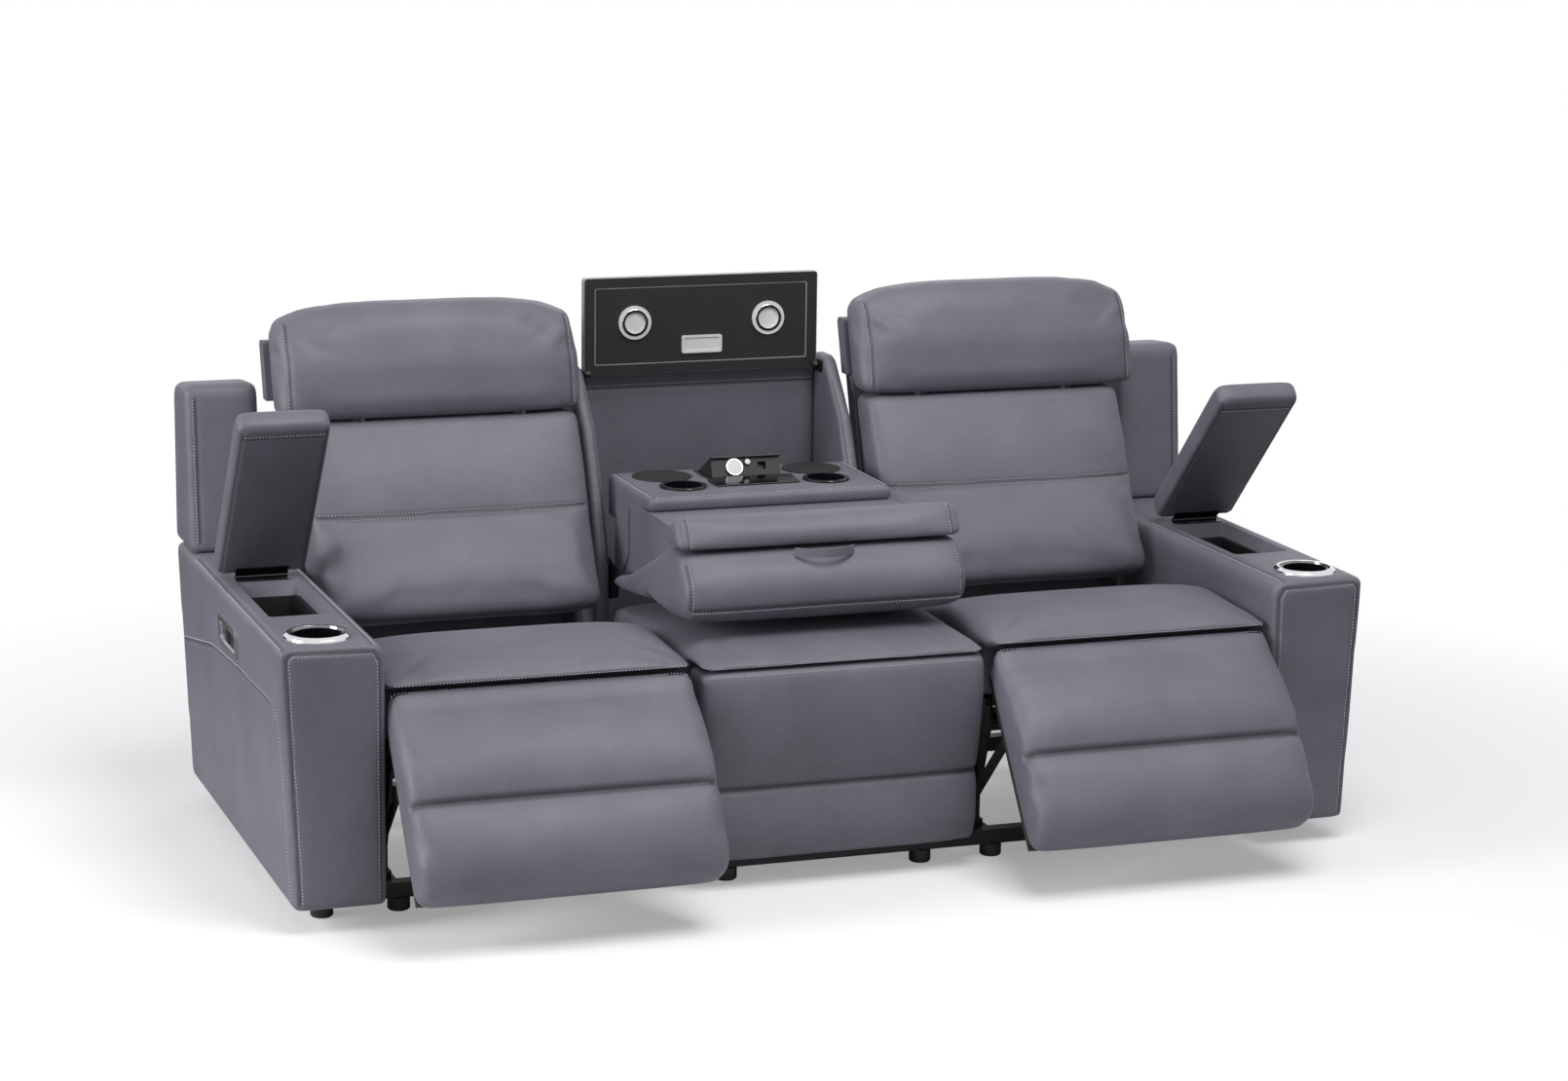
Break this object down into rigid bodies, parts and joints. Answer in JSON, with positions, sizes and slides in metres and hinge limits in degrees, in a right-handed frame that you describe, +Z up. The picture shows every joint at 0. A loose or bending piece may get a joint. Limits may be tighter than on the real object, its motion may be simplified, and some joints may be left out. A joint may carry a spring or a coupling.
{
  "type": "reclining sofa with drop-down console",
  "caption": "Power reclining sofa with side recliners, storage arms under flip-up lids and a centre back that folds down into a console with a pop-up outlet and a flip-up light panel.",
  "frame": {"origin": "on the floor, under the middle of the sofa's outline with its footrests part open", "axes": "+X to the sitter's left, which is the viewer's right, +Y to the back, +Z up"},
  "size_m": [2.2448, 1.263, 1.086],
  "materials": {
    "black_steel": "satin black powder coat",
    "black_plastic": "fine moulded grain",
    "upholstery": "brushed slate-grey woven suede with pale stitching",
    "gloss_black": "polished black",
    "bright_trim": "polished trim",
    "silver_plastic": "plated bezel",
    "hinge_steel": "black plated steel with bright pins",
    "upholstery_board": "board covered in the same slate-grey suede",
    "lamp_white": "white frames with frosted lenses",
    "plywood": "sanded plywood"
  },
  "bodies": {
    "sofa_base": {"base_frame": "black_steel", "feet": "black_plastic", "power_supply": "black_plastic", "left_arm": "upholstery", "right_arm": "upholstery", "arm_bins": "black_plastic", "cup_holders": "gloss_black", "cup_rings": "bright_trim", "left_wing": "upholstery", "right_wing": "upholstery", "left_control_panel": "silver_plastic", "right_control_panel": "silver_plastic", "lid_hinge_bases": "hinge_steel", "centre_back_frame": "upholstery_board", "centre_hinges": "hinge_steel", "centre_seat_cushion": "upholstery", "centre_seat_front": "upholstery"},
    "console": {"drop_cushion": "upholstery", "console_core": "upholstery_board", "console_table": "upholstery_board", "console_roll": "upholstery", "console_arms": "hinge_steel", "console_cups": "gloss_black", "round_pads": "black_plastic", "touch_strip": "gloss_black", "popup_frame": "black_plastic", "pull_loop": "upholstery"},
    "outlet": {"popup_outlet": "black_plastic"},
    "light": {"light_panel": "black_plastic", "panel_lamps": "lamp_white"},
    "left_recliner": {"left_seat_frame": "black_steel", "left_seat_cushion": "upholstery", "left_actuator": "black_plastic"},
    "left_back": {"left_back_shell": "upholstery_board", "left_lumbar_pad": "upholstery"},
    "left_headrest": {"left_headrest_pad": "upholstery", "left_headrest_frame": "plywood"},
    "left_footrest": {"left_footrest_pad": "upholstery", "left_footrest_board": "plywood"},
    "left_crank": {"left_drive_links": "black_steel"},
    "left_coupler": {"left_coupler_links": "black_steel"},
    "left_arm_lid": {"left_lid": "upholstery", "left_lid_leaf": "hinge_steel"},
    "left_recline_switch": {"left_recline_rocker": "gloss_black"},
    "left_headrest_switch": {"left_headrest_rocker": "gloss_black"},
    "right_recliner": {"right_seat_frame": "black_steel", "right_seat_cushion": "upholstery", "right_actuator": "black_plastic"},
    "right_back": {"right_back_shell": "upholstery_board", "right_lumbar_pad": "upholstery"},
    "right_headrest": {"right_headrest_pad": "upholstery", "right_headrest_frame": "plywood"},
    "right_footrest": {"right_footrest_pad": "upholstery", "right_footrest_board": "plywood"},
    "right_crank": {"right_drive_links": "black_steel"},
    "right_coupler": {"right_coupler_links": "black_steel"},
    "right_arm_lid": {"right_lid": "upholstery", "right_lid_leaf": "hinge_steel"},
    "right_recline_switch": {"right_recline_rocker": "gloss_black"},
    "right_headrest_switch": {"right_headrest_rocker": "gloss_black"}
  },
  "joints": [
    {"name": "left_seat_glide", "type": "slide", "parent": "sofa_base", "child": "left_recliner", "axis": [0, -1, 0], "range_m": [0, 0.07]},
    {"name": "left_recline", "type": "hinge", "parent": "left_recliner", "child": "left_back", "pos_m": [-0.6145, 0.2795, 0.335], "axis": [-1, 0, 0], "range_deg": [0, 32]},
    {"name": "left_headrest_tilt", "type": "hinge", "parent": "left_back", "child": "left_headrest", "pos_m": [-0.6145, 0.3765, 0.838], "axis": [1, 0, 0], "range_deg": [0, 18]},
    {"name": "left_footrest_lift", "type": "hinge", "parent": "left_recliner", "child": "left_footrest", "pos_m": [-0.6145, -0.3715, 0.434], "axis": [-1, 0, 0], "range_deg": [-36.5, 53.5]},
    {"name": "left_crank_turn", "type": "hinge", "parent": "left_recliner", "child": "left_crank", "pos_m": [-0.6145, -0.1965, 0.262], "axis": [-1, 0, 0], "range_deg": [-36.5, 53.5]},
    {"name": "left_coupler_turn", "type": "hinge", "parent": "left_crank", "child": "left_coupler", "pos_m": [-0.6145, -0.22463, 0.09621], "axis": [-1, 0, 0], "range_deg": [-53.5, 36.5]},
    {"name": "left_lid_hinge", "type": "hinge", "parent": "sofa_base", "child": "left_arm_lid", "pos_m": [-1.026, 0.2075, 0.561], "axis": [-1, 0, 0], "range_deg": [-53, 39]},
    {"name": "left_recline_rocker_tilt", "type": "hinge", "parent": "sofa_base", "child": "left_recline_switch", "pos_m": [-1.11077, 0.0425, 0.47024], "axis": [-0.0469, 0, 0.9989], "range_deg": [-6, 6], "stiffness_Nm_per_rad": 0.3},
    {"name": "left_headrest_rocker_tilt", "type": "hinge", "parent": "sofa_base", "child": "left_headrest_switch", "pos_m": [-1.11077, 0.0885, 0.47024], "axis": [-0.0469, 0, 0.9989], "range_deg": [-6, 6], "stiffness_Nm_per_rad": 0.3},
    {"name": "right_seat_glide", "type": "slide", "parent": "sofa_base", "child": "right_recliner", "axis": [0, -1, 0], "range_m": [0, 0.07]},
    {"name": "right_recline", "type": "hinge", "parent": "right_recliner", "child": "right_back", "pos_m": [0.6145, 0.2795, 0.335], "axis": [-1, 0, 0], "range_deg": [0, 32]},
    {"name": "right_headrest_tilt", "type": "hinge", "parent": "right_back", "child": "right_headrest", "pos_m": [0.6145, 0.3765, 0.838], "axis": [1, 0, 0], "range_deg": [0, 18]},
    {"name": "right_footrest_lift", "type": "hinge", "parent": "right_recliner", "child": "right_footrest", "pos_m": [0.6145, -0.3715, 0.434], "axis": [-1, 0, 0], "range_deg": [-36.5, 53.5]},
    {"name": "right_crank_turn", "type": "hinge", "parent": "right_recliner", "child": "right_crank", "pos_m": [0.6145, -0.1965, 0.262], "axis": [-1, 0, 0], "range_deg": [-36.5, 53.5]},
    {"name": "right_coupler_turn", "type": "hinge", "parent": "right_crank", "child": "right_coupler", "pos_m": [0.6145, -0.22463, 0.09621], "axis": [-1, 0, 0], "range_deg": [-53.5, 36.5]},
    {"name": "right_lid_hinge", "type": "hinge", "parent": "sofa_base", "child": "right_arm_lid", "pos_m": [1.026, 0.2075, 0.561], "axis": [-1, 0, 0], "range_deg": [-46, 46]},
    {"name": "right_recline_rocker_tilt", "type": "hinge", "parent": "sofa_base", "child": "right_recline_switch", "pos_m": [1.11077, 0.0425, 0.47024], "axis": [0.0469, 0, 0.9989], "range_deg": [-6, 6], "stiffness_Nm_per_rad": 0.3},
    {"name": "right_headrest_rocker_tilt", "type": "hinge", "parent": "sofa_base", "child": "right_headrest_switch", "pos_m": [1.11077, 0.0885, 0.47024], "axis": [0.0469, 0, 0.9989], "range_deg": [-6, 6], "stiffness_Nm_per_rad": 0.3},
    {"name": "console_drop", "type": "hinge", "parent": "sofa_base", "child": "console", "pos_m": [0, 0.2765, 0.488], "axis": [1, 0, 0], "range_deg": [-90, 0]},
    {"name": "light_panel_fold", "type": "hinge", "parent": "sofa_base", "child": "light", "pos_m": [0, 0.5225, 0.884], "axis": [-1, 0, 0], "range_deg": [-180, 0]},
    {"name": "outlet_tilt", "type": "hinge", "parent": "console", "child": "outlet", "pos_m": [0, 0.3155, 0.697], "axis": [-1, 0, 0], "range_deg": [-28, 0]}
  ],
  "couplings": [
    {"joint": "left_seat_glide", "follows": "left_recline", "m_per_rad": 0.12521},
    {"joint": "left_crank_turn", "follows": "left_footrest_lift", "ratio": 1},
    {"joint": "left_coupler_turn", "follows": "left_footrest_lift", "ratio": -1},
    {"joint": "right_seat_glide", "follows": "right_recline", "m_per_rad": 0.12521},
    {"joint": "right_crank_turn", "follows": "right_footrest_lift", "ratio": 1},
    {"joint": "right_coupler_turn", "follows": "right_footrest_lift", "ratio": -1}
  ]
}
